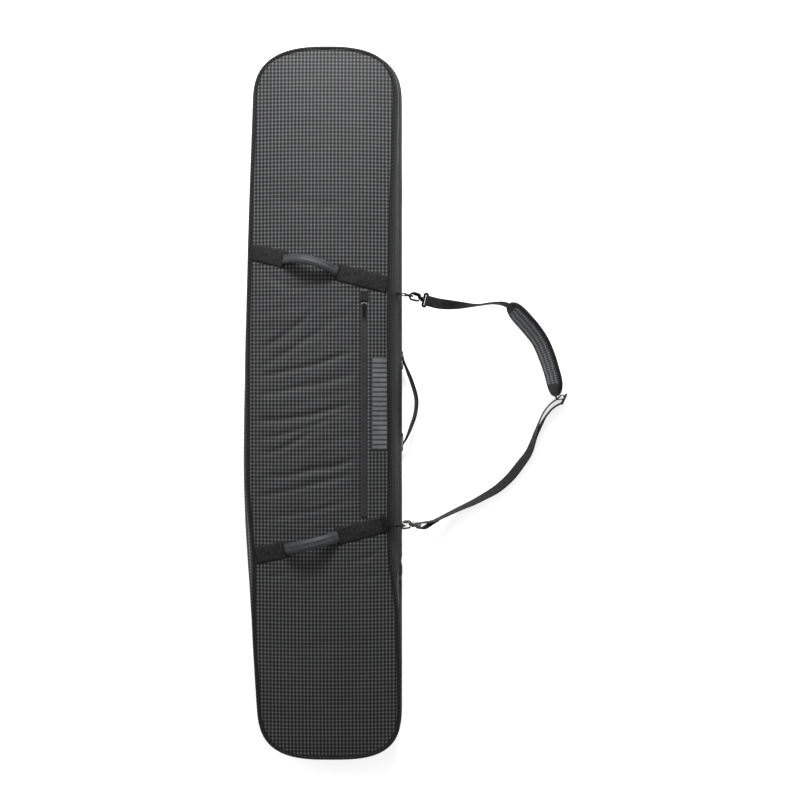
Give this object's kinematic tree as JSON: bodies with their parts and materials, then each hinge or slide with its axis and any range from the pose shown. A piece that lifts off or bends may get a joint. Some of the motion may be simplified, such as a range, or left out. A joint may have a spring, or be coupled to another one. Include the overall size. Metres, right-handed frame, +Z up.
{
  "type": "snowboard bag",
  "caption": "Long padded snowboard bag lying on its back, wrap-round side zip, front webbing grips, zip pocket, side grab handle and a clip-on padded shoulder strap.",
  "frame": {"origin": "middle of the footprint of the bag, without the shoulder strap, at floor level", "axes": "+Y along the bag to its top end, +X to the zipped side and the shoulder strap, +Z up out of the front panel; the bag lies on its back"},
  "size_m": [0.7589, 1.66, 0.1528],
  "materials": {
    "check_fabric": "charcoal polyester with a small woven grey check",
    "foam": "closed-cell padding",
    "lining": "smooth dark grey lining cloth",
    "piping": "black fabric piping",
    "zipper_tape": "coated black zipper tape with coil teeth",
    "webbing": "black ribbed nylon webbing",
    "grip": "dark blue-grey coated grip with ridges",
    "patch": "matt grey moulded patch with plain ribs",
    "pad_fabric": "checked fabric over foam with black binding",
    "dark_metal": "black nickel zinc casting",
    "buckle": "black moulded nylon"
  },
  "bodies": {
    "root": {"back_panel": "check_fabric", "back_foam": "foam", "back_lining": "lining", "back_piping": "piping", "base_gusset": "check_fabric", "zipper_tape_lower": "zipper_tape", "spine_fold_base": "check_fabric", "side_handle_anchor_upper": "webbing", "side_handle_anchor_lower": "webbing"},
    "cover": {"front_panel": "check_fabric", "front_foam": "foam", "front_lining": "lining", "front_piping": "piping", "cover_gusset": "check_fabric", "zipper_tape_upper": "zipper_tape", "spine_fold_cover": "check_fabric", "handle_webbing_upper_left": "webbing", "handle_webbing_upper_right": "webbing", "handle_webbing_lower_left": "webbing", "handle_webbing_lower_right": "webbing", "pocket_zipper_tape": "zipper_tape", "pocket_zipper_garage": "patch", "front_patch": "patch", "d_ring_tab_upper": "webbing", "d_ring_tab_lower": "webbing", "d_ring_upper": "dark_metal", "d_ring_lower": "dark_metal"},
    "grip_upper": {"handle_grip_upper": "grip"},
    "grip_lower": {"handle_grip_lower": "grip"},
    "side_handle": {"side_handle": "webbing"},
    "main_slider_upper": {"main_slider_upper": "dark_metal"},
    "main_pull_upper": {"main_slider_pull_upper": "dark_metal"},
    "main_slider_lower": {"main_slider_lower": "dark_metal"},
    "main_pull_lower": {"main_slider_pull_lower": "dark_metal"},
    "pocket_slider": {"pocket_slider": "dark_metal"},
    "pocket_pull": {"pocket_slider_pull": "dark_metal"},
    "strap": {"strap_webbing_upper": "webbing", "strap_webbing_lower": "webbing", "shoulder_pad": "pad_fabric", "tri_glide": "buckle", "swivel_eye_upper": "dark_metal", "swivel_eye_lower": "dark_metal"},
    "hook_upper": {"snap_hook_upper": "dark_metal"},
    "gate_upper": {"hook_gate_upper": "dark_metal"},
    "hook_lower": {"snap_hook_lower": "dark_metal"},
    "gate_lower": {"hook_gate_lower": "dark_metal"}
  },
  "joints": [
    {"name": "cover_hinge", "type": "hinge", "parent": "root", "child": "cover", "pos_m": [-0.20315, 0, 0.062], "axis": [0, -1, 0], "range_deg": [0, 165]},
    {"name": "main_slider_upper_slide", "type": "slide", "parent": "root", "child": "main_slider_upper", "axis": [0, 1, 0], "range_m": [0, 1.05]},
    {"name": "main_pull_upper_flip", "type": "hinge", "parent": "main_slider_upper", "child": "main_pull_upper", "pos_m": [0.16335, -0.3985, 0.062], "axis": [0, 0, -1], "range_deg": [0, 170]},
    {"name": "main_slider_lower_slide", "type": "slide", "parent": "root", "child": "main_slider_lower", "axis": [0, -1, 0], "range_m": [0, 0.24]},
    {"name": "main_pull_lower_flip", "type": "hinge", "parent": "main_slider_lower", "child": "main_pull_lower", "pos_m": [0.16335, -0.4145, 0.062], "axis": [0, 0, 1], "range_deg": [0, 170]},
    {"name": "pocket_slider_slide", "type": "slide", "parent": "cover", "child": "pocket_slider", "axis": [0, -1, 0], "range_m": [0, 0.46]},
    {"name": "pocket_pull_flip", "type": "hinge", "parent": "pocket_slider", "child": "pocket_pull", "pos_m": [0.08111, 0.2225, 0.11827], "axis": [-1, 0, 0], "range_deg": [0, 160]},
    {"name": "grip_upper_tilt", "type": "hinge", "parent": "cover", "child": "grip_upper", "pos_m": [-0.04254, 0.31443, 0.12297], "axis": [0.9715, -0.2348, 0.033], "range_deg": [-25, 65]},
    {"name": "grip_lower_tilt", "type": "hinge", "parent": "cover", "child": "grip_lower", "pos_m": [-0.03899, -0.31964, 0.12288], "axis": [0.9704, 0.2393, 0.0336], "range_deg": [-45, 45]},
    {"name": "side_handle_swing", "type": "hinge", "parent": "root", "child": "side_handle", "pos_m": [0.17535, 0, 0.029], "axis": [0, -1, 0], "range_deg": [-20, 35]},
    {"name": "strap_swing", "type": "hinge", "parent": "cover", "child": "strap", "pos_m": [0.1778, 0.24948, 0.085], "axis": [-0.0337, -0.999, 0.0301], "range_deg": [0, 95]},
    {"name": "hook_upper_swivel", "type": "hinge", "parent": "strap", "child": "hook_upper", "pos_m": [0.18961, 0.2474, 0.07684], "axis": [0.8042, -0.191, -0.5629], "range_deg": [-18, 18]},
    {"name": "gate_upper_open", "type": "hinge", "parent": "hook_upper", "child": "gate_upper", "pos_m": [0.20563, 0.23794, 0.06474], "axis": [-0.5477, 0.1301, -0.8265], "range_deg": [0, 18], "stiffness_Nm_per_rad": 0.002},
    {"name": "hook_lower_swivel", "type": "hinge", "parent": "strap", "child": "hook_lower", "pos_m": [0.17032, -0.282, 0.09097], "axis": [0.7218, -0.0201, -0.6918], "range_deg": [-18, 18]},
    {"name": "gate_lower_open", "type": "hinge", "parent": "hook_lower", "child": "gate_lower", "pos_m": [0.18569, -0.28793, 0.0761], "axis": [-0.6915, 0.0192, -0.7221], "range_deg": [0, 18], "stiffness_Nm_per_rad": 0.002}
  ]
}
